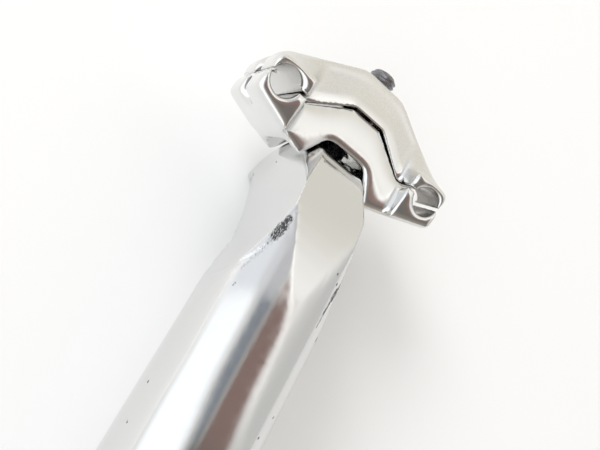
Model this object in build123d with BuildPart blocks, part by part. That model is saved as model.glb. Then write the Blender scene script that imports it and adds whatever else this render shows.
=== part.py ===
# Bicycle seatpost with a one-bolt saddle clamp, lying on its back.
# Lengths are in millimetres, angles in degrees. +X runs up the post towards the head,
# +Z points to the front of the post, and the post is symmetric about the XZ plane.

import os
from math import asin, atan, atan2, cos, hypot, radians, sin, sqrt, tan

from build123d import *

os.makedirs("parts", exist_ok=True)

# Sizes set by the bicycle: the frame's seat tube and the saddle's two rails
tube_diameter = 27.2
rail_diameter = 7.0
rail_spacing = 44.0

# Tube and neck, heights measured along the tube from its lower end or below the tilt axis
tube_wall = 2.4
tube_end_chamfer = 0.8
seat_end_below_pivot = 18.0
forging_draft = 0.5
bore_end_below_pivot = 24.0
bore_end_angle = 118.0
neck_bend_below_pivot = 3.0
neck_lean = 38.0

# Tilt axis of the saddle clamp and the lean of the bolt from the tube
pivot_height = 190.0
clamp_lean = 18.1
tilt_range = 12.0

# Forged head: crown and shoulders are arcs about the tilt axis
head_width = 16.8
crown_radius = 28.4
crown_setback = 3.7
crown_width = 12.4
flank_height = 3.3
flank_runout_angle = 27.0
flank_sweep = 90.0
front_start_below_pivot = 15.8
front_entry_angle = 2.5
scoop_radius = 21.5
scoop_below_pivot = 2.3
head_rear_reach = 20.5
lip_thickness = 3.0
lip_angle = 55.4

# Saddle clamp, heights measured from the rail centres
rail_above_crown = 2.7
clamp_half_length = 15.0
clamp_half_width = 26.8
lug_inner = 15.8
parting_gap = 0.5
parting_arch_height = 7.1
parting_arch_half_width = 4.4
parting_foot = 14.6
parting_lug_height = 0.3
scallop_radius = 3.0
scallop_depth = 4.0
outline_rounding = 1.2
face_rounding = 1.0

# Lower cradle
leg_overlap = 0.7
leg_outer = 10.0
leg_depth = 10.6
arch_half_width = 13.0
groove_depth = 2.0
groove_sweep = 90.0
flank_clearance = 0.35
lug_depth = 5.0
cradle_waist = 10.9
cradle_waist_lean = 14.0

# Upper clamp
crest_height = 17.2
crest_half_length = 6.0
crest_half_width = 6.0
wing_height = 7.5
wing_half_width = 24.6
wing_end_height = 3.6
upper_waist = 9.7
slope_foot_centre = 9.4
slope_foot_lug = 4.9
slope_foot_end = 4.6
slope_reach_lug = 11.6

# Clamp bolt, its curved washer and the pocket under the head
bolt_diameter = 7.0
bolt_tip_height = 21.4
bolt_tip_chamfer = 0.8
bolt_head_diameter = 11.0
bolt_head_height = 7.0
bolt_head_chamfer = 0.6
hex_key = 5.0
hex_depth = 4.0
bolt_clearance = 0.5
thread_clearance = 0.1
seat_radius = 13.0
seat_clearance = 0.3
washer_length = 12.0
washer_width = 11.6
washer_thickness = 3.4
pocket_clearance = 0.7
pocket_drop = 5.5

# Worked-out sizes
tube_radius = tube_diameter / 2
bore_radius = tube_radius - tube_wall
seat_length = pivot_height - seat_end_below_pivot
rail_radius = rail_diameter / 2
bolt_radius = bolt_diameter / 2
pivot_setback = crown_radius + crown_setback - tube_radius
rail_height = crown_radius + rail_above_crown
shoulder_radius = crown_radius - flank_height
leg_radius = shoulder_radius - leg_overlap
half_head = head_width / 2
flank_slope = (head_width - crown_width) / 2 / flank_height
lip_rounding = lip_thickness / 2
lip_radius = shoulder_radius - lip_rounding
lean = radians(clamp_lean)
reach = 3 * tube_diameter

# The post rests on the rim of the tube's lower end and on the rounded lip of the head.
lip_forward = -lip_radius * sin(radians(lip_angle))
lip_up = lip_radius * cos(radians(lip_angle))
lip_height = pivot_height + lip_up * cos(lean) - lip_forward * sin(lean) - tube_end_chamfer
lip_setback = pivot_setback - lip_up * sin(lean) - lip_forward * cos(lean) - tube_radius
lie = asin(lip_rounding / hypot(lip_height, lip_setback)) + atan2(lip_setback, lip_height)

# Directions: along the tube, to the post's front, along the bolt, to the clamp's front
along = Vector(cos(lie), 0, sin(lie))
front = Vector(-sin(lie), 0, cos(lie))
bolt_up = Vector(cos(lie + lean), 0, sin(lie + lean))
clamp_front = Vector(-sin(lie + lean), 0, cos(lie + lean))
side = Vector(0, 1, 0)

# The origin lies on the floor midway between the tube's end and the bolt's tip.
pivot_from_end = along * pivot_height - front * pivot_setback
tip_from_end = pivot_from_end + bolt_up * (rail_height + bolt_tip_height)
tip_reach = tip_from_end.X + (bolt_radius - bolt_tip_chamfer) * sin(lie + lean)
end_reach = (tube_radius - tube_end_chamfer) * sin(lie)
tube_end = Vector(
    (end_reach - tip_reach) / 2, 0, tube_radius * cos(lie) - tube_end_chamfer * sin(lie)
)
pivot = tube_end + pivot_from_end
rails = pivot + bolt_up * rail_height
tilt_axis = Axis(pivot, side)

# Sketch planes
tube_section = Plane(tube_end, x_dir=side, z_dir=along)
post_side = Plane(tube_end, x_dir=along, z_dir=-side)
post_front = Plane(tube_end, x_dir=along, z_dir=front)
head_side = Plane(pivot, x_dir=bolt_up, z_dir=-side)
clamp_side = Plane(rails, x_dir=bolt_up, z_dir=-side)
clamp_face = Plane(rails, x_dir=bolt_up, z_dir=clamp_front)
clamp_plan = Plane(rails, x_dir=side, z_dir=bolt_up)


# Plane through the tilt axis, leaning forward from the bolt by an angle
def radial_plane(angle):
    radial = bolt_up * cos(radians(angle)) + clamp_front * sin(radians(angle))
    forward = clamp_front * cos(radians(angle)) - bolt_up * sin(radians(angle))
    return Plane(pivot, x_dir=radial, z_dir=forward)


# Half width of the head's flank at a distance from the tilt axis
def flank(radius):
    return half_head - flank_slope * (radius - shoulder_radius)


# Post: tube and neck
with BuildPart() as post:
    with BuildSketch(tube_section):
        Circle(tube_radius)
    extrude(amount=seat_length)
    with BuildSketch(tube_section.offset(seat_length)):
        Circle(tube_radius)
    extrude(amount=seat_end_below_pivot + crown_radius, taper=forging_draft)
    neck_bend = tube_end + along * (pivot_height - neck_bend_below_pivot)
    neck_dir = along * cos(radians(neck_lean)) - front * sin(radians(neck_lean))
    with BuildSketch(Plane(neck_bend, x_dir=side, z_dir=neck_dir)):
        Circle(tube_radius)
    extrude(amount=2 * crown_radius)

    # Scooped and flat sides
    scoop_start = pivot_height - scoop_below_pivot
    scoop_top = half_head + scoop_radius
    with BuildSketch(post_front):
        with BuildLine():
            Line((scoop_start, half_head), (scoop_start + reach, half_head))
            Line((scoop_start + reach, half_head), (scoop_start + reach, scoop_top))
            Line((scoop_start + reach, scoop_top), (scoop_start - scoop_radius, scoop_top))
            RadiusArc(
                (scoop_start - scoop_radius, scoop_top), (scoop_start, half_head), -scoop_radius
            )
        make_face()
        mirror(about=Plane.XZ)
    extrude(amount=reach, both=True, mode=Mode.SUBTRACT)

    # Long convex front face that blends into the crown
    crown_centre = Vector(pivot_height, -pivot_setback)
    front_start = pivot_height - front_start_below_pivot
    entry = radians(front_entry_angle)
    front_offset = tube_radius + pivot_setback
    front_radius = (front_offset ** 2 + front_start_below_pivot ** 2 - crown_radius ** 2) / (
        2 * (front_offset * cos(entry) - front_start_below_pivot * sin(entry) - crown_radius)
    )
    front_centre = Vector(
        front_start - front_radius * sin(entry), tube_radius - front_radius * cos(entry)
    )
    blend = crown_centre + (crown_centre - front_centre).normalized() * crown_radius
    crown_end = crown_centre + Vector(sin(lean), -cos(lean)) * crown_radius
    with BuildSketch(post_side):
        with BuildLine():
            RadiusArc((front_start, tube_radius), (blend.X, blend.Y), front_radius)
            RadiusArc((blend.X, blend.Y), (crown_end.X, crown_end.Y), crown_radius)
            Polyline(
                (crown_end.X, crown_end.Y),
                (pivot_height + reach, crown_end.Y),
                (pivot_height + reach, reach),
                (front_start, reach),
                (front_start, tube_radius),
            )
        make_face()
    extrude(amount=reach, both=True, mode=Mode.SUBTRACT)

    # Rear end and its rounded lip
    with BuildSketch(head_side):
        with Locations((0, -head_rear_reach)):
            Rectangle(2 * reach, reach, align=(Align.CENTER, Align.MAX))
    extrude(amount=reach, both=True, mode=Mode.SUBTRACT)
    with BuildSketch(head_side):
        with BuildLine():
            CenterArc((0, 0), shoulder_radius, -lip_angle, lip_angle)
            CenterArc((lip_up, lip_forward), lip_rounding, -180 - lip_angle, 180)
            CenterArc((0, 0), shoulder_radius - lip_thickness, -lip_angle, lip_angle)
            Line((shoulder_radius - lip_thickness, 0), (shoulder_radius, 0))
        make_face()
    extrude(amount=half_head, both=True)

    # Slanted flanks of the crown, running out straight at the front
    with BuildSketch(radial_plane(flank_runout_angle)) as flank_cut:
        Polygon(
            (shoulder_radius, half_head),
            (crown_radius + groove_depth, flank(crown_radius + groove_depth)),
            (crown_radius + groove_depth, tube_radius),
            (shoulder_radius, tube_radius),
            align=None,
        )
        mirror(about=Plane.XZ)
    revolve(axis=tilt_axis, revolution_arc=flank_sweep, mode=Mode.SUBTRACT)
    extrude(flank_cut.sketch, amount=crown_radius, mode=Mode.SUBTRACT)

    # Pocket under the head with the concave seat of the curved washer
    pocket_half_width = (washer_width + pocket_clearance) / 2
    pocket_corner = sqrt(seat_radius ** 2 - pocket_drop ** 2)
    with BuildSketch(head_side):
        with BuildLine():
            ThreePointArc(
                (-pocket_drop, pocket_corner), (seat_radius, 0), (-pocket_drop, -pocket_corner)
            )
            Line((-pocket_drop, -pocket_corner), (-pocket_drop, pocket_corner))
        make_face()
    extrude(amount=pocket_half_width, both=True, mode=Mode.SUBTRACT)

    # Fan-shaped slot that lets the bolt swing with the clamp
    slot_half_width = bolt_radius + bolt_clearance
    swing = tan(radians(tilt_range))
    slot_base = slot_half_width / cos(radians(tilt_range))
    with BuildSketch(head_side):
        Polygon(
            (0, slot_base),
            (reach, slot_base + reach * swing),
            (reach, -slot_base - reach * swing),
            (0, -slot_base),
            align=None,
        )
    extrude(amount=slot_half_width, both=True, mode=Mode.SUBTRACT)

    # Bore of the tube with the drill's cone at its end
    bore_depth = pivot_height - bore_end_below_pivot
    with BuildSketch(post_side):
        Polygon(
            (0, 0),
            (0, bore_radius),
            (bore_depth, bore_radius),
            (bore_depth + bore_radius / tan(radians(bore_end_angle / 2)), 0),
            align=None,
        )
    revolve(axis=Axis(tube_end, along), mode=Mode.SUBTRACT)
    rims = post.edges().filter_by(GeomType.CIRCLE).sort_by(Axis(tube_end, along))
    chamfer(rims[:2], tube_end_chamfer)
post.part.label = "post"
export_step(post.part, "parts/post.step")

# Lower cradle: one half seen from the front, then its mirror image
with BuildPart() as lower_cradle:
    with BuildSketch(clamp_face) as cradle_outline:
        Polygon(
            (parting_arch_height - parting_gap / 2, 0),
            (parting_arch_height - parting_gap / 2, parting_arch_half_width),
            (parting_lug_height - parting_gap / 2, parting_foot),
            (parting_lug_height - parting_gap / 2, clamp_half_width),
            (-lug_depth, clamp_half_width),
            (-leg_depth, leg_outer),
            (-leg_depth, 0),
            align=None,
        )
        fillet(cradle_outline.vertices().sort_by(Axis.Y)[2:], outline_rounding)
    extrude(amount=clamp_half_length, both=True)
    lug_faces = lower_cradle.faces().filter_by(clamp_face)
    fillet(lug_faces.edges().sort_by(Axis.Y)[2:], face_rounding)

    # Narrow waist between the lugs, leaning in towards the top
    waist_lean = tan(radians(cradle_waist_lean))
    with BuildSketch(clamp_side):
        Polygon(
            (-rail_height, cradle_waist + rail_height * waist_lean),
            (rail_height, cradle_waist - rail_height * waist_lean),
            (rail_height, reach),
            (-rail_height, reach),
            align=None,
        )
        mirror(about=Plane.XZ)
    extrude(amount=lug_inner, both=True, mode=Mode.SUBTRACT)

    # Arched underside and the groove that straddles the crown
    with BuildSketch(head_side):
        Circle(leg_radius)
    extrude(amount=arch_half_width, both=True, mode=Mode.SUBTRACT)
    groove_radius = crown_radius + groove_depth
    flank_gap = flank_clearance / cos(atan(flank_slope))
    with BuildSketch(radial_plane(groove_sweep / 2)):
        Polygon(
            (seat_radius, 0),
            (seat_radius, flank(seat_radius) + flank_gap),
            (groove_radius, flank(groove_radius) + flank_gap),
            (groove_radius, 0),
            align=None,
        )
    revolve(axis=tilt_axis, revolution_arc=groove_sweep, mode=Mode.SUBTRACT)

    # Rail groove, scallop between front and rear lug, bolt hole
    with BuildSketch(clamp_face):
        with Locations((0, rail_spacing / 2)):
            Circle(rail_radius)
    extrude(amount=reach, both=True, mode=Mode.SUBTRACT)
    with BuildSketch(clamp_plan):
        with Locations((clamp_half_width + scallop_radius - scallop_depth, 0)):
            Circle(scallop_radius)
        Circle(bolt_radius + bolt_clearance)
    extrude(amount=reach, both=True, mode=Mode.SUBTRACT)
    mirror(about=Plane.XZ)
lower_cradle.part.label = "lower_cradle"
export_step(lower_cradle.part, "parts/lower_cradle.step")

# Upper clamp: one quarter seen from the front, then its mirror images
with BuildPart() as upper_clamp:
    with BuildSketch(clamp_face) as clamp_outline:
        Polygon(
            (parting_arch_height + parting_gap / 2, 0),
            (parting_arch_height + parting_gap / 2, parting_arch_half_width),
            (parting_lug_height + parting_gap / 2, parting_foot),
            (parting_lug_height + parting_gap / 2, clamp_half_width),
            (wing_end_height, clamp_half_width),
            (wing_height, wing_half_width),
            (crest_height, crest_half_width),
            (crest_height, 0),
            align=None,
        )
        fillet(clamp_outline.vertices().sort_by(Axis.Y)[2:], outline_rounding)
    extrude(amount=clamp_half_length)
    lug_face = upper_clamp.faces().sort_by(Axis(rails, clamp_front))[-1]
    fillet(lug_face.edges().sort_by(Axis.Y)[1:], face_rounding)

    # Waist between the lugs
    with BuildSketch(clamp_side):
        with Locations((0, upper_waist)):
            Rectangle(2 * reach, reach, align=(Align.CENTER, Align.MIN))
    extrude(amount=lug_inner, both=True, mode=Mode.SUBTRACT)

    # Roof slopes from the crest down to the waist and the lugs
    wing_fall = (crest_height - wing_height) / (wing_half_width - crest_half_width)
    crest_at_lug = crest_height - wing_fall * (lug_inner - crest_half_width)
    crest_at_end = crest_height - wing_fall * (clamp_half_width - crest_half_width)
    with BuildSketch(clamp_side):
        Polygon(
            (slope_foot_centre, upper_waist),
            (crest_height, crest_half_length),
            (reach, crest_half_length),
            (reach, reach),
            (slope_foot_centre, reach),
            align=None,
        )
    with BuildSketch(clamp_side.offset(-crest_half_width)):
        Polygon(
            (slope_foot_centre, upper_waist),
            (crest_height, crest_half_length),
            (reach, crest_half_length),
            (reach, reach),
            (slope_foot_centre, reach),
            align=None,
        )
    with BuildSketch(clamp_side.offset(-lug_inner)):
        Polygon(
            (slope_foot_lug, slope_reach_lug),
            (crest_at_lug, crest_half_length),
            (reach, crest_half_length),
            (reach, reach),
            (slope_foot_lug, reach),
            align=None,
        )
    with BuildSketch(clamp_side.offset(-clamp_half_width)):
        Polygon(
            (slope_foot_end, clamp_half_length),
            (crest_at_end, crest_half_length),
            (reach, crest_half_length),
            (reach, reach),
            (slope_foot_end, reach),
            align=None,
        )
    loft(ruled=True, mode=Mode.SUBTRACT)
    mirror(about=clamp_face)

    # Rail groove, scallop between front and rear lug, threaded bolt hole
    with BuildSketch(clamp_face):
        with Locations((0, rail_spacing / 2)):
            Circle(rail_radius)
    extrude(amount=reach, both=True, mode=Mode.SUBTRACT)
    with BuildSketch(clamp_plan):
        with Locations((clamp_half_width + scallop_radius - scallop_depth, 0)):
            Circle(scallop_radius)
        Circle(bolt_radius + thread_clearance)
    extrude(amount=reach, both=True, mode=Mode.SUBTRACT)
    mirror(about=Plane.XZ)
upper_clamp.part.label = "upper_clamp"
export_step(upper_clamp.part, "parts/upper_clamp.step")

# Curved washer: convex side in the head's seat, flat side on the bolt's head
washer_radius = seat_radius - seat_clearance
washer_base = washer_radius - washer_thickness
with BuildPart() as curved_washer:
    with BuildSketch(head_side):
        Circle(washer_radius)
        with Locations((washer_base, 0)):
            Rectangle(
                washer_radius, washer_length, align=(Align.MIN, Align.CENTER), mode=Mode.INTERSECT
            )
    extrude(amount=washer_width / 2, both=True)
    with BuildSketch(clamp_plan):
        Circle(bolt_radius + bolt_clearance)
    extrude(amount=-reach, mode=Mode.SUBTRACT)
curved_washer.part.label = "curved_washer"
export_step(curved_washer.part, "parts/curved_washer.step")

# Clamp bolt: socket head below the washer, threaded tip proud of the upper clamp
head_top = pivot + bolt_up * washer_base
bolt_length = rail_height + bolt_tip_height - washer_base
with BuildPart() as clamp_bolt:
    with BuildSketch(Plane(head_top, x_dir=side, z_dir=bolt_up)):
        Circle(bolt_radius)
    extrude(amount=bolt_length)
    chamfer(clamp_bolt.edges().sort_by(Axis(head_top, bolt_up))[-1], bolt_tip_chamfer)
    with BuildSketch(Plane(head_top, x_dir=side, z_dir=-bolt_up)):
        Circle(bolt_head_diameter / 2)
    extrude(amount=bolt_head_height)
    chamfer(clamp_bolt.edges().sort_by(Axis(head_top, bolt_up))[0], bolt_head_chamfer)
    with BuildSketch(Plane(head_top - bolt_up * bolt_head_height, x_dir=side, z_dir=bolt_up)):
        RegularPolygon(hex_key / 2, 6, major_radius=False)
    extrude(amount=hex_depth, mode=Mode.SUBTRACT)
clamp_bolt.part.label = "clamp_bolt"
export_step(clamp_bolt.part, "parts/clamp_bolt.step")
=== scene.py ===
from math import cos, pi, radians, sin, sqrt

import bmesh
import bpy
from mathutils import Matrix, Vector


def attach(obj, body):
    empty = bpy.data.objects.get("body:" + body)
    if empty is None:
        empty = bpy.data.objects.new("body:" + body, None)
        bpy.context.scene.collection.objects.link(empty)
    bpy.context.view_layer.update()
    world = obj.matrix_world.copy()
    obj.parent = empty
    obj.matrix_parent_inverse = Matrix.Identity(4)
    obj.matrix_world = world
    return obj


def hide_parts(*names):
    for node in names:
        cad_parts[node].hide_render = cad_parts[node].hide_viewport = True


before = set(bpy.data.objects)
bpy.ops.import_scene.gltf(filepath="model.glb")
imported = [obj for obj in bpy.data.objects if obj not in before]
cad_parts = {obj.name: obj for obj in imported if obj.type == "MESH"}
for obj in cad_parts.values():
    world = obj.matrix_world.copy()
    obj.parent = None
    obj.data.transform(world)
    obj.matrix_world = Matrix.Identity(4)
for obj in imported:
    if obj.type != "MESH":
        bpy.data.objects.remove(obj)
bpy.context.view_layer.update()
scene = bpy.context.scene


# Post: one aluminium forging, a 27.2 mm tube that turns into a blade-shaped head.
# The forging is ground, polished bright and rounded over on every edge. Use has left
# scrapes on both sides of its neck and a few dots on tube and blade.
post_along = Vector((0.995079, 0.0, 0.099084))
post_front = Vector((-0.099084, 0.0, 0.995079))
post_side = Vector((0.0, 1.0, 0.0))
tube_end = Vector((-0.119380, 0.0, 0.013454))
tube_radius = 0.0136
bore_radius = 0.0112
wall_middle = (tube_radius + bore_radius) / 2
wall_tolerance = 0.0004
rim_chamfer = 0.0008
plain_tube_length = 0.150
blend_length = 0.008
post_voxel = 0.00035
post_softening = 10
merge_distance = 1e-6
cut_tolerance = 1e-7
scoop_radius = 0.0215
scoop_middle = 0.1877
scoop_reach = 0.0140
blade_half = 0.0084
thinnest_half = 0.001
core_half = 0.002
taper_start = 0.164
taper_end = 0.196
taper_margin = 0.002
skin_start = 0.5
skin_fade = 0.45
back_slope = 38.0
back_start = 0.187
ridge_softening = 90
ridge_side = 0.001
ridge_side_fade = 0.003
ridge_front = 0.003
ridge_start = 0.160
ridge_start_fade = 0.008
ridge_end = 0.198
ridge_end_fade = 0.010
bright_colour = (0.73, 0.73, 0.725, 1.0)
bright_edge_tint = (0.97, 0.97, 0.97, 1.0)
scrape_colour = (0.10, 0.10, 0.10, 1.0)
scrape_roughness = 0.6
scrape_grain = (1800.0, 5200.0, 5200.0)
buffing_grain = (400.0, 5200.0, 5200.0)
# Each mark: start, end, half width at its edge, depth
left_scrape = [
    ((0.0688, 0.0077, 0.0432), (0.0692, 0.0076, 0.0433), 0.0006, 0.6),
    ((0.0672, 0.0082, 0.0428), (0.0653, 0.0084, 0.0424), 0.0011, 1.6),
    ((0.0653, 0.0084, 0.0424), (0.0628, 0.0088, 0.0418), 0.0016, 1.6),
    ((0.0628, 0.0088, 0.0418), (0.0610, 0.0092, 0.0413), 0.0016, 0.62),
    ((0.0610, 0.0092, 0.0413), (0.0576, 0.0100, 0.0402), 0.0016, 0.50),
    ((0.0576, 0.0100, 0.0402), (0.0544, 0.0108, 0.0390), 0.0013, 0.45),
]
right_scrape = [
    ((0.0640, -0.0093, 0.0417), (0.0628, -0.0093, 0.0413), 0.0009, 0.7),
    ((0.0628, -0.0093, 0.0413), (0.0610, -0.0086, 0.0416), 0.0009, 1.4),
    ((0.0610, -0.0086, 0.0416), (0.0592, -0.0083, 0.0417), 0.0011, 1.8),
    ((0.0592, -0.0083, 0.0417), (0.0554, -0.0080, 0.0417), 0.0005, 1.6),
    ((0.0554, -0.0080, 0.0417), (0.0525, -0.0080, 0.0415), 0.0006, 0.8),
]
dots = [
    ((0.0633, -0.0064, 0.0435), (0.0635, -0.0064, 0.0435), 0.0004, 1.8),
    ((0.0617, -0.0074, 0.0426), (0.0620, -0.0076, 0.0426), 0.0004, 1.6),
    ((0.0513, -0.0106, 0.0389), (0.0509, -0.0106, 0.0389), 0.0005, 2.2),
    ((0.0852, 0.0054, 0.0387), (0.0854, 0.0054, 0.0386), 0.0003, 2.0),
    ((0.0897, 0.0084, 0.0052), (0.0895, 0.0084, 0.0056), 0.0003, 2.0),
    ((0.0901, 0.0084, 0.0175), (0.0899, 0.0084, 0.0178), 0.0003, 2.0),
    ((0.0514, 0.0105, 0.0392), (0.0508, 0.0107, 0.0391), 0.0003, 1.6),
    ((0.0218, 0.0130, 0.0315), (0.0220, 0.0130, 0.0315), 0.0003, 2.0),
    ((0.0293, 0.0133, 0.0313), (0.0295, 0.0133, 0.0313), 0.0003, 2.0),
    ((0.0293, -0.0076, 0.0396), (0.0295, -0.0077, 0.0396), 0.0003, 2.0),
    ((0.0338, -0.0090, 0.0390), (0.0340, -0.0091, 0.0390), 0.0003, 2.0),
]


def unit(value):
    # A value kept between 0 and 1
    return min(max(value, 0.0), 1.0)


def eased(share):
    # A share between 0 and 1 with soft ends
    return share * share * (3.0 - 2.0 * share)


def soften(form, verts, passes):
    # Rubs a surface smooth
    for _ in range(passes):
        bmesh.ops.smooth_vert(
            form, verts=verts, factor=0.5, use_axis_x=True, use_axis_y=True, use_axis_z=True
        )


def cut_off(form, point, normal, below):
    # Takes away what lies below or above a plane
    bmesh.ops.bisect_plane(
        form,
        geom=form.verts[:] + form.edges[:] + form.faces[:],
        dist=cut_tolerance,
        plane_co=point,
        plane_no=normal,
        clear_inner=below,
        clear_outer=not below,
    )


def merged_copy(node):
    # A CAD node's mesh as one connected form
    form = bmesh.new()
    form.from_mesh(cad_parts[node].data)
    bmesh.ops.remove_doubles(form, verts=form.verts, dist=merge_distance)
    return form


def soft_copy(node, voxel, softening):
    # The forged form of a CAD node with its edges rounded over
    rough_mesh = bpy.data.meshes.new(node + "_rough")
    form = merged_copy(node)
    form.to_mesh(rough_mesh)
    form.free()
    rough = bpy.data.objects.new(node + "_rough", rough_mesh)
    scene.collection.objects.link(rough)
    remesh = rough.modifiers.new("Remesh", "REMESH")
    remesh.mode = "VOXEL"
    remesh.voxel_size = voxel
    remesh.adaptivity = 0.0
    graph = bpy.context.evaluated_depsgraph_get()
    soft_mesh = bpy.data.meshes.new_from_object(rough.evaluated_get(graph))
    bpy.data.objects.remove(rough)
    form = bmesh.new()
    form.from_mesh(soft_mesh)
    bpy.data.meshes.remove(soft_mesh)
    soften(form, form.verts, softening)
    return form


def piece(form, name, material):
    # A finished form as an object at the origin
    for face in form.faces:
        face.smooth = True
    mesh = bpy.data.meshes.new(name)
    form.to_mesh(mesh)
    form.free()
    mesh.materials.append(material)
    made = bpy.data.objects.new(name, mesh)
    scene.collection.objects.link(made)
    return made


def finish_nodes(name):
    # An empty node material with its principled shader
    material = bpy.data.materials.new(name)
    material.use_nodes = True
    tree = material.node_tree
    return material, tree, tree.nodes["Principled BSDF"]


def add_node(tree, kind, links=None, **settings):
    # A node with its settings, and its inputs set or linked by number or name
    made = tree.nodes.new(kind)
    for key, value in settings.items():
        setattr(made, key, value)
    for key, value in (links or {}).items():
        if isinstance(value, bpy.types.NodeSocket):
            tree.links.new(value, made.inputs[key])
        else:
            made.inputs[key].default_value = value
    return made


def noise(tree, place, scale, detail):
    # A cloudy pattern
    return add_node(
        tree, "ShaderNodeTexNoise", {"Vector": place, "Scale": scale, "Detail": detail}
    ).outputs["Fac"]


def blotch(tree, place, scale, detail, low, high):
    # A noise spread between two values
    return add_node(
        tree,
        "ShaderNodeMapRange",
        {
            "Value": noise(tree, place, scale, detail),
            "From Min": 0.3,
            "From Max": 0.7,
            "To Min": low,
            "To Max": high,
        },
    ).outputs["Result"]


def sums(tree, operation, first, second):
    # One arithmetic step
    return add_node(
        tree, "ShaderNodeMath", {0: first, 1: second}, operation=operation, use_clamp=True
    ).outputs["Value"]


def vector_step(tree, operation, links, output):
    # One step with vectors
    return add_node(tree, "ShaderNodeVectorMath", links, operation=operation).outputs[output]


def tint(tree, share, first, second):
    # A mix of two colours
    return add_node(
        tree, "ShaderNodeMix", {0: share, 6: first, 7: second}, data_type="RGBA"
    ).outputs[2]


def level(tree, share, first, second):
    # A mix of two values
    return add_node(tree, "ShaderNodeMix", {0: share, 2: first, 3: second}).outputs[0]


def polish(tree, shader, place, wave_scale, wave_strength):
    # Bright aluminium polished by hand: a slightly wavy face with fine buffing marks
    shader.inputs["Metallic"].default_value = 1.0
    wavy = add_node(
        tree,
        "ShaderNodeBump",
        {
            "Height": noise(tree, place, wave_scale, 0.5),
            "Strength": wave_strength,
            "Distance": 0.002,
        },
    )
    stretched = add_node(tree, "ShaderNodeMapping", {"Vector": place, "Scale": buffing_grain})
    buffed = add_node(
        tree,
        "ShaderNodeBump",
        {
            "Height": noise(tree, stretched.outputs["Vector"], 1.0, 2.0),
            "Strength": 0.05,
            "Distance": 0.0001,
            "Normal": wavy.outputs["Normal"],
        },
    )
    tree.links.new(buffed.outputs["Normal"], shader.inputs["Normal"])


def streak(tree, place, start, end, width):
    # A scrape between two points: 1 on its line, falling to 0 at its edge
    span = Vector(end) - Vector(start)
    from_start = vector_step(tree, "SUBTRACT", {0: place, 1: start}, "Vector")
    along_span = span / span.length_squared
    share = vector_step(tree, "DOT_PRODUCT", {0: from_start, 1: along_span}, "Value")
    kept = sums(tree, "ADD", share, 0.0)
    nearest = vector_step(tree, "SCALE", {0: span, "Scale": kept}, "Vector")
    away = vector_step(tree, "DISTANCE", {0: from_start, 1: nearest}, "Value")
    return add_node(
        tree,
        "ShaderNodeMapRange",
        {"Value": away, "From Max": width, "To Min": 1.0, "To Max": 0.0},
    ).outputs["Result"]


polished, tree, shader = finish_nodes("polished_forging")
place = add_node(tree, "ShaderNodeTexCoord").outputs["Object"]
polish(tree, shader, place, wave_scale=36.0, wave_strength=0.50)
shader.inputs["Specular Tint"].default_value = bright_edge_tint
scraped = 0.0
for start, end, width, depth in left_scrape + right_scrape + dots:
    mark = sums(tree, "MULTIPLY", streak(tree, place, start, end, width), depth)
    scraped = sums(tree, "MAXIMUM", mark, scraped)
along_scrape = add_node(tree, "ShaderNodeMapping", {"Vector": place, "Scale": scrape_grain})
grit = blotch(tree, along_scrape.outputs["Vector"], scale=1.0, detail=3.0, low=0.20, high=1.0)
bitten = add_node(
    tree,
    "ShaderNodeMapRange",
    {"Value": sums(tree, "MULTIPLY", scraped, grit), "From Min": 0.22, "From Max": 0.58},
).outputs["Result"]
haze = blotch(tree, place, scale=700.0, detail=4.0, low=0.09, high=0.15)
tree.links.new(tint(tree, bitten, bright_colour, scrape_colour), shader.inputs["Base Color"])
tree.links.new(level(tree, bitten, haze, scrape_roughness), shader.inputs["Roughness"])

# The plain tube is cut off the softened form, and the head's lower end made truly round
head = soft_copy("post", post_voxel, post_softening)
cut_off(head, tube_end + post_along * plain_tube_length, post_along, below=True)
for vert in head.verts:
    offset = vert.co - tube_end
    height = offset.dot(post_along)
    share = (plain_tube_length + blend_length - height) / blend_length
    if share > 0.0:
        radial = offset - post_along * height
        wall = tube_radius if radial.length > wall_middle else bore_radius
        true_place = tube_end + post_along * height + radial.normalized() * wall
        if abs(radial.length - wall) < wall_tolerance:
            vert.co = vert.co.lerp(true_place, min(share, 1.0))

# The sides of the neck follow a longer and softer taper than the solid's scoop
slope_cos, slope_sin = cos(radians(back_slope)), sin(radians(back_slope))
for vert in head.verts:
    height = (vert.co - tube_end).dot(post_along)
    forward = (vert.co - tube_end).dot(post_front)
    if height < taper_start - taper_margin or abs(vert.co.y) < core_half:
        continue
    body = sqrt(max(tube_radius**2 - forward**2, 0.0))
    if (height - back_start) * slope_cos - forward * slope_sin > 0.0:
        leaning = (height - back_start) * slope_sin + forward * slope_cos
        body = max(body, sqrt(max(tube_radius**2 - leaning**2, 0.0)))
    reach = min(max(scoop_middle - height, 0.0), scoop_radius)
    cad_half = blade_half + scoop_radius - sqrt(scoop_radius**2 - reach**2)
    if reach > scoop_reach:
        cad_half = tube_radius
    cad_half = min(body, cad_half)
    share = unit((height - taper_start) / (taper_end - taper_start))
    soft_half = min(body, tube_radius - (tube_radius - blade_half) * eased(share))
    if cad_half > thinnest_half:
        outward = eased(unit((abs(vert.co.y) / cad_half - skin_start) / skin_fade))
        vert.co.y *= 1.0 + (soft_half / cad_half - 1.0) * outward

# The ridge on the right is polished away more than the one on the left
right_ridge = [
    vert
    for vert in head.verts
    if vert.co.y < -ridge_side
    and (vert.co - tube_end).dot(post_front) > ridge_front
    and (vert.co - tube_end).dot(post_along) > ridge_start
]
sharp_places = [vert.co.copy() for vert in right_ridge]
soften(head, right_ridge, ridge_softening)
for vert, sharp in zip(right_ridge, sharp_places):
    height = (sharp - tube_end).dot(post_along)
    share = unit((height - ridge_start) / ridge_start_fade)
    share *= unit((ridge_end - height) / ridge_end_fade)
    share *= unit((-sharp.y - ridge_side) / ridge_side_fade)
    vert.co = sharp.lerp(vert.co, share)

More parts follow.
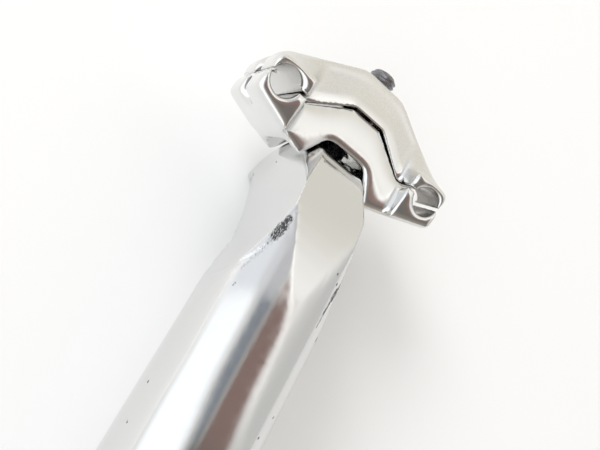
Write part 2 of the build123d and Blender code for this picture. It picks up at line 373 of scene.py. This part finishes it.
# The plain tube is drawn out again from the cut, down to its chamfered end
rim = [edge for edge in head.edges if edge.is_boundary]
lower = bmesh.ops.extrude_edge_only(head, edges=rim)["geom"]
lower_verts = [item for item in lower if isinstance(item, bmesh.types.BMVert)]
bmesh.ops.translate(head, verts=lower_verts, vec=post_along * (rim_chamfer - plain_tube_length))
rim = [edge for edge in head.edges if edge.is_boundary]
chamfer = bmesh.ops.extrude_edge_only(head, edges=rim)["geom"]
for vert in [item for item in chamfer if isinstance(item, bmesh.types.BMVert)]:
    offset = vert.co - tube_end
    radial = offset - post_along * offset.dot(post_along)
    outside = radial.length > wall_middle
    end_radius = tube_radius - rim_chamfer if outside else bore_radius + rim_chamfer
    vert.co = tube_end + radial.normalized() * end_radius
rim = [edge for edge in head.edges if edge.is_boundary]
bmesh.ops.bridge_loops(head, edges=rim)
bmesh.ops.recalc_face_normals(head, faces=head.faces)
post = piece(head, "forged_post", polished)
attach(post, "post")
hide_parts("post")


# Lower cradle: the aluminium saddle that straddles the head's crown and carries the rails.
# It is forged and polished, and swings about the head with the upper clamp.
cradle_voxel = 0.0003
cradle_softening = 12
cradle_rounding = 28
arch_rounding = 60
lug_inner = 0.0158
band_face = 0.0097
barrel_root = 0.0050
barrel_fade = 0.0030
barrel_middle = 0.0058
barrel_upper_radius = 0.023
barrel_lower_radius = 0.038
barrel_limit = 0.0009
rail_middle = Vector((0.099977, 0.0, 0.026414))
rail_offset = 0.022
rail_radius = 0.0035
bolt_up = Vector((0.915055, 0.0, 0.403329))
clamp_front = Vector((-0.403329, 0.0, 0.915055))
arch_top = 0.0071
arch_half_width = 0.0044
arch_foot = 0.0146
lug_parting = 0.0003
parting_margin = 0.0006
groove_margin = 0.0002
cradle_colour = (0.765, 0.765, 0.755, 1.0)
groove_colour = (0.66, 0.65, 0.64, 1.0)
groove_roughness = 0.26


def above_parting(place):
    # Height above the line where the two clamp halves meet, measured along the bolt
    run = (abs(place.y) - arch_half_width) / (arch_foot - arch_half_width)
    line = arch_top + (lug_parting - arch_top) * unit(run)
    return (place - rail_middle).dot(bolt_up) - line


def from_rail(place):
    # The way to a place from the nearer rail's axis, square to it
    axis_place = rail_middle + post_side * (rail_offset if place.y > 0 else -rail_offset)
    offset = place - axis_place
    return offset - clamp_front * offset.dot(clamp_front)


def round_over(form, passes, chosen):
    # A forging polished round, with its rail grooves left true
    soften(form, chosen, passes)
    for vert in form.verts:
        radial = from_rail(vert.co)
        if radial.length < rail_radius:
            vert.co += radial.normalized() * (rail_radius - radial.length)


def mark_grooves(form):
    # Marks the rail grooves, which are left as forged
    grooves = form.verts.layers.float.new("groove")
    for vert in form.verts:
        in_groove = from_rail(vert.co).length < rail_radius + groove_margin
        vert[grooves] = 1.0 if in_groove else 0.0


cradle_polish, tree, shader = finish_nodes("polished_cradle")
place = add_node(tree, "ShaderNodeTexCoord").outputs["Object"]
polish(tree, shader, place, wave_scale=75.0, wave_strength=0.30)
groove_share = add_node(tree, "ShaderNodeAttribute", attribute_name="groove").outputs["Fac"]
haze = blotch(tree, place, scale=900.0, detail=4.0, low=0.10, high=0.18)
colour = tint(tree, groove_share, cradle_colour, groove_colour)
tree.links.new(colour, shader.inputs["Base Color"])
tree.links.new(level(tree, groove_share, haze, groove_roughness), shader.inputs["Roughness"])
form = soft_copy("lower_cradle", cradle_voxel, cradle_softening)
for vert in form.verts:
    forward = (vert.co - rail_middle).dot(clamp_front)
    share = unit((abs(forward) - barrel_root) / (band_face - barrel_root))
    share *= unit((lug_inner - abs(vert.co.y)) / barrel_fade)
    rise = above_parting(vert.co) + barrel_middle
    drop = rise**2 / (2.0 * (barrel_upper_radius if rise > 0 else barrel_lower_radius))
    vert.co -= clamp_front * (min(drop, barrel_limit) * share * (1 if forward > 0 else -1))
below = [vert for vert in form.verts if above_parting(vert.co) < -parting_margin]
round_over(form, cradle_rounding, below)
below = [vert for vert in form.verts if above_parting(vert.co) < -parting_margin]
round_over(form, arch_rounding, [vert for vert in below if abs(vert.co.y) < lug_inner])
mark_grooves(form)
cradle = piece(form, "saddle_cradle", cradle_polish)
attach(cradle, "clamp")
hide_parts("lower_cradle")


# Upper clamp: the gull-winged aluminium half that presses on the rails.
# Its roof is left matt from blasting, and its lower band and lug ends are polished.
roof_voxel = 0.0003
roof_softening = 12
roof_rounding = 80
band_root = 0.0060
band_lean = 0.33
band_width = 0.0028
band_fade = 0.0010
roof_facing = 0.15
band_colour = (0.77, 0.765, 0.75, 1.0)
band_roughness = 0.14
blasted_dark = (0.74, 0.73, 0.70, 1.0)
blasted_pale = (0.82, 0.81, 0.78, 1.0)
blasted_roughness = 0.46
matt_roof, tree, shader = finish_nodes("matt_roof")
place = add_node(tree, "ShaderNodeTexCoord").outputs["Object"]
polish(tree, shader, place, wave_scale=110.0, wave_strength=0.08)
blasted = add_node(tree, "ShaderNodeAttribute", attribute_name="blasted").outputs["Fac"]
groove_share = add_node(tree, "ShaderNodeAttribute", attribute_name="groove").outputs["Fac"]
speckle = blotch(tree, place, scale=2200.0, detail=5.0, low=0.0, high=1.0)
matt = tint(tree, speckle, blasted_dark, blasted_pale)
colour = tint(tree, groove_share, tint(tree, blasted, band_colour, matt), groove_colour)
tree.links.new(colour, shader.inputs["Base Color"])
rough = level(tree, blasted, band_roughness, blasted_roughness)
tree.links.new(level(tree, groove_share, rough, groove_roughness), shader.inputs["Roughness"])
form = soft_copy("upper_clamp", roof_voxel, roof_softening)
for vert in form.verts:
    forward = (vert.co - rail_middle).dot(clamp_front)
    share = unit((abs(forward) - band_root) / (band_face - band_root))
    rise = max(above_parting(vert.co), 0.0)
    if abs(vert.co.y) < lug_inner:
        vert.co -= clamp_front * (band_lean * rise * share * (1 if forward > 0 else -1))
above = [vert for vert in form.verts if above_parting(vert.co) > parting_margin]
round_over(form, roof_rounding, above)
mark_grooves(form)
form.normal_update()
blasting = form.verts.layers.float.new("blasted")
for vert in form.verts:
    over_band = (above_parting(vert.co) - band_width) / band_fade
    upward = (vert.normal.dot(bolt_up) - roof_facing) / roof_facing
    vert[blasting] = unit(over_band) * unit(upward)
roof = piece(form, "gull_wing_clamp", matt_roof)
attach(roof, "clamp")
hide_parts("upper_clamp")


# Clamp bolt and curved washer: dark steel, with the rolled M7 thread that stands proud of
# the upper clamp. The bolt's socket head and the washer sit in the pocket under the head.
thread_radius = 0.0035
thread_root = 0.00290
thread_pitch = 0.001
thread_start = 0.0100
thread_turns = 13
crest_start = 0.42
crest_end = 0.55
root_start = 0.97
bolt_tip = 0.0207
tip_chamfer = 0.0008
tip_tolerance = 1e-5
steps_per_turn = 48
steel_dark = (0.17, 0.17, 0.18, 1.0)
steel_pale = (0.30, 0.30, 0.31, 1.0)
dark_steel, tree, shader = finish_nodes("dark_steel")
place = add_node(tree, "ShaderNodeTexCoord").outputs["Object"]
shader.inputs["Metallic"].default_value = 1.0
tarnish = blotch(tree, place, scale=900.0, detail=4.0, low=0.0, high=1.0)
haze = blotch(tree, place, scale=1500.0, detail=3.0, low=0.20, high=0.36)
tree.links.new(tint(tree, tarnish, steel_dark, steel_pale), shader.inputs["Base Color"])
tree.links.new(haze, shader.inputs["Roughness"])
bolt_form = merged_copy("clamp_bolt")
plain_end = rail_middle + bolt_up * (thread_start + thread_pitch)
cut_off(bolt_form, plain_end, bolt_up, below=False)
plain_bolt = bpy.data.meshes.new("plain_bolt")
bolt_form.to_mesh(plain_bolt)
bolt_form.free()
thread = bmesh.new()
thread_foot = rail_middle + bolt_up * thread_start
crest_out = post_side * thread_radius
root_out = post_side * thread_root
ridge = [
    thread_foot + root_out,
    thread_foot + crest_out + bolt_up * thread_pitch * crest_start,
    thread_foot + crest_out + bolt_up * thread_pitch * crest_end,
    thread_foot + root_out + bolt_up * thread_pitch * root_start,
    thread_foot + root_out + bolt_up * thread_pitch,
]
ridge_verts = [thread.verts.new(point) for point in ridge]
ridge_edges = [thread.edges.new(pair) for pair in zip(ridge_verts, ridge_verts[1:])]
bmesh.ops.spin(
    thread,
    geom=ridge_verts + ridge_edges,
    cent=rail_middle,
    axis=bolt_up,
    dvec=bolt_up * thread_pitch / steps_per_turn,
    angle=2 * pi * thread_turns,
    steps=steps_per_turn * thread_turns,
)
bmesh.ops.remove_doubles(thread, verts=thread.verts, dist=merge_distance)
cut_off(thread, rail_middle + bolt_up * bolt_tip, bolt_up, below=False)
for vert in thread.verts:
    height = (vert.co - rail_middle).dot(bolt_up)
    radial = vert.co - rail_middle - bolt_up * height
    limit = thread_radius - max(0.0, height - bolt_tip + tip_chamfer)
    if radial.length > limit:
        vert.co = rail_middle + bolt_up * height + radial.normalized() * limit
top_edges = []
for edge in thread.edges:
    lowest = min((vert.co - rail_middle).dot(bolt_up) for vert in edge.verts)
    if edge.is_boundary and lowest > bolt_tip - tip_tolerance:
        top_edges.append(edge)
bmesh.ops.holes_fill(thread, edges=top_edges)
thread.from_mesh(plain_bolt)
bmesh.ops.recalc_face_normals(thread, faces=thread.faces)
bolt = piece(thread, "threaded_bolt", dark_steel)
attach(bolt, "clamp")
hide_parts("clamp_bolt")
washer_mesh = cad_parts["curved_washer"].data
washer_mesh.materials.clear()
washer_mesh.materials.append(dark_steel)


# Floor: a white table top under the lying post, painted and slightly matt.
# It belongs to the picture and not to the object.
floor_half = 3.0
floor_colour = (0.95, 0.95, 0.945, 1.0)
floor_roughness = 0.6
floor_material, tree, shader = finish_nodes("white_table")
shader.inputs["Base Color"].default_value = floor_colour
shader.inputs["Roughness"].default_value = floor_roughness
form = bmesh.new()
bmesh.ops.create_grid(form, x_segments=1, y_segments=1, size=floor_half)
floor = piece(form, "floor", floor_material)


# Light: a broad pale window low on the left of the picture in a light room, with a darker
# patch overhead that the bright metal mirrors as its dark bands.
room_strength = 0.95
room_colour = (0.90, 0.89, 0.88, 1.0)
ceiling_colour = (1.24, 1.22, 1.18, 1.0)
warm_wall = (0.92, 0.89, 0.81, 1.0)
brown_wall = (0.50, 0.42, 0.35, 1.0)
right_wall = (0.73, 0.725, 0.71, 1.0)
patch_brown = (0.31, 0.21, 0.19, 1.0)
patch_line = (0.46, 0.44, 0.42, 1.0)
patch_blue = (0.29, 0.32, 0.36, 1.0)
patch_dark = (0.20, 0.185, 0.17, 1.0)
patch_far = (0.29, 0.265, 0.235, 1.0)
patch_pull = 0.05
strip_colour = (1.50, 1.48, 1.43, 1.0)
window_colour = (1.45, 1.5, 1.55, 1.0)
cool_dark = (0.73, 0.73, 0.75, 1.0)
cool_pale = (1.04, 1.07, 1.12, 1.0)
window_slant = (-0.7, 1.0, 0.0)
strip_slant = (1.0, -0.45, 0.0)
lamp_toward = Vector((0.34, 0.72, 0.55)).normalized()
lamp_aim = Vector((0.05, 0.0, 0.02))
lamp_distance = 2.5
lamp_size = 1.2
lamp_power = 26.0
world = bpy.data.worlds.new("pale_room")
world.use_nodes = True
scene.world = world
tree = world.node_tree
toward = add_node(tree, "ShaderNodeTexCoord").outputs["Generated"]
way = add_node(tree, "ShaderNodeSeparateXYZ", {0: toward}).outputs


def fade(value, start, end):
    # 0 at start, 1 at end, smooth between
    return add_node(
        tree,
        "ShaderNodeMapRange",
        {"Value": value, "From Min": start, "From Max": end},
        interpolation_type="SMOOTHSTEP",
    ).outputs["Result"]


def product(first, *others):
    # Several shares multiplied
    for other in others:
        first = sums(tree, "MULTIPLY", first, other)
    return first


def between(value, low, low_full, high_full, high):
    # 1 between the two full values, fading to 0 at low and high
    return product(fade(value, low, low_full), fade(value, high, high_full))


def layered(colour, layers):
    # A colour with others laid over it, each fading in along a direction
    for value, start, end, over in layers:
        colour = tint(tree, fade(value, start, end), colour, over)
    return colour


edge_step = level(tree, fade(way["X"], -0.04, -0.09), 0.0, patch_pull)
lean = vector_step(tree, "DOT_PRODUCT", {0: toward, 1: window_slant}, "Value")
lean = add_node(tree, "ShaderNodeMath", {0: lean, 1: edge_step}, operation="ADD").outputs["Value"]
across = add_node(
    tree, "ShaderNodeMath", {0: edge_step, 1: 0.5, 2: way["Y"]}, operation="MULTIPLY_ADD"
).outputs["Value"]
room = layered(
    room_colour,
    [
        (way["X"], -0.1, 0.26, ceiling_colour),
        (way["X"], 0.30, 0.75, warm_wall),
        (way["X"], -0.35, -0.75, brown_wall),
        (way["Y"], -0.50, -0.95, right_wall),
    ],
)
patch_tint = layered(
    patch_brown,
    [
        (across, 0.02, 0.07, patch_line),
        (across, 0.11, 0.20, patch_blue),
        (way["X"], -0.10, -0.20, patch_dark),
        (way["X"], -0.28, -0.45, patch_far),
    ],
)
patch_left = between(lean, -0.72, -0.46, 0.30, 0.58)
patch_across = between(way["X"], -0.75, -0.58, 0.08, 0.27)
room = tint(tree, product(patch_left, patch_across), room, patch_tint)
strip_place = vector_step(tree, "DOT_PRODUCT", {0: toward, 1: strip_slant}, "Value")
strip = product(between(strip_place, 0.22, 0.28, 0.32, 0.40), fade(way["X"], -0.14, 0.20))
room = tint(tree, strip, room, strip_colour)
window = product(fade(lean, 0.46, 0.68), fade(way["Z"], -0.05, 0.20))
room = tint(tree, window, room, window_colour)
cool_wall = layered(cool_dark, [(way["Y"], 0.35, 0.80, cool_pale)])
cool_share = product(
    fade(way["X"], 0.06, 0.19),
    fade(way["Y"], 0.02, 0.22),
    fade(way["X"], 0.65, 0.45),
    fade(way["Z"], -0.05, 0.20),
)
room = tint(tree, cool_share, room, cool_wall)
background = tree.nodes["Background"]
tree.links.new(room, background.inputs["Color"])
background.inputs["Strength"].default_value = room_strength
lamp = bpy.data.lights.new("window_lamp", "AREA")
lamp.shape = "DISK"
lamp.size = lamp_size
lamp.energy = lamp_power
lamp_object = bpy.data.objects.new("window_lamp", lamp)
lamp_object.location = lamp_aim + lamp_toward * lamp_distance
lamp_object.rotation_euler = lamp_toward.to_track_quat("Z", "Y").to_euler()
lamp_object.visible_glossy = False
scene.collection.objects.link(lamp_object)


# Camera: close above the head, looking down along the post.
# Its place and focal length were solved from the rails and the tube in the photo.
view_from = Vector((0.019698, 0.045707, 0.137840))
view_along = Vector((0.41997, -0.35284, -0.83614)).normalized()
view_up = Vector((0.80766, 0.56550, 0.16704))
focal_pixels = 578.1
picture_width = 600.0
view_right = view_along.cross(view_up).normalized()
view_up = view_right.cross(view_along)
camera = bpy.data.cameras.new("camera")
camera.sensor_width = 36.0
camera.lens = focal_pixels * camera.sensor_width / picture_width
camera.clip_start = 0.001
camera_object = bpy.data.objects.new("camera", camera)
turn = Matrix((view_right, view_up, -view_along)).transposed()
camera_object.matrix_world = Matrix.Translation(view_from) @ turn.to_4x4()
scene.collection.objects.link(camera_object)
scene.camera = camera_object
scene.view_settings.view_transform = "Standard"
